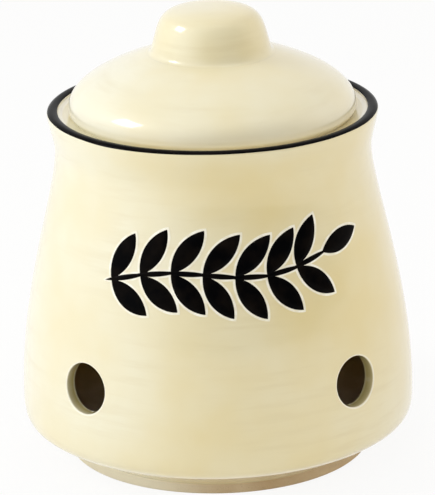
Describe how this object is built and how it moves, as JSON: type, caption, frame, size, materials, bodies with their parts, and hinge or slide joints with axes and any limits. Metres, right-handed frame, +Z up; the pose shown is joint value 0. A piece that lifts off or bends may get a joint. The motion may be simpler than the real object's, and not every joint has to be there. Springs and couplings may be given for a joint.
{
  "type": "garlic keeper",
  "caption": "Round cream glazed ceramic keeper: bellied jar with air vents on a bare foot ring, dark glazed rim, leafy front motif, and a domed lift-off lid with a hollow knob.",
  "frame": {"origin": "centre of the foot ring's underside, on the surface that the jar stands on", "axes": "+Z up along the jar's axis and the way the lid lifts; -Y towards the decorated front"},
  "size_m": [0.1344, 0.1344, 0.1545],
  "materials": {
    "cream_glaze": "glossy warm cream glaze over stoneware",
    "black_glaze": "thick glossy black glaze",
    "bare_stoneware": "bare fired stoneware, wiped clean of glaze"
  },
  "bodies": {
    "jar": {"foot_ring": "bare_stoneware", "jar_body": "cream_glaze", "rim_band": "black_glaze", "front_motif": "black_glaze"},
    "lid": {"lid_dome": "cream_glaze", "lid_knob": "cream_glaze"}
  },
  "joints": [
    {"name": "lid_lift", "type": "slide", "parent": "jar", "child": "lid", "axis": [0, 0, 1], "range_m": [0, 0.1]}
  ]
}
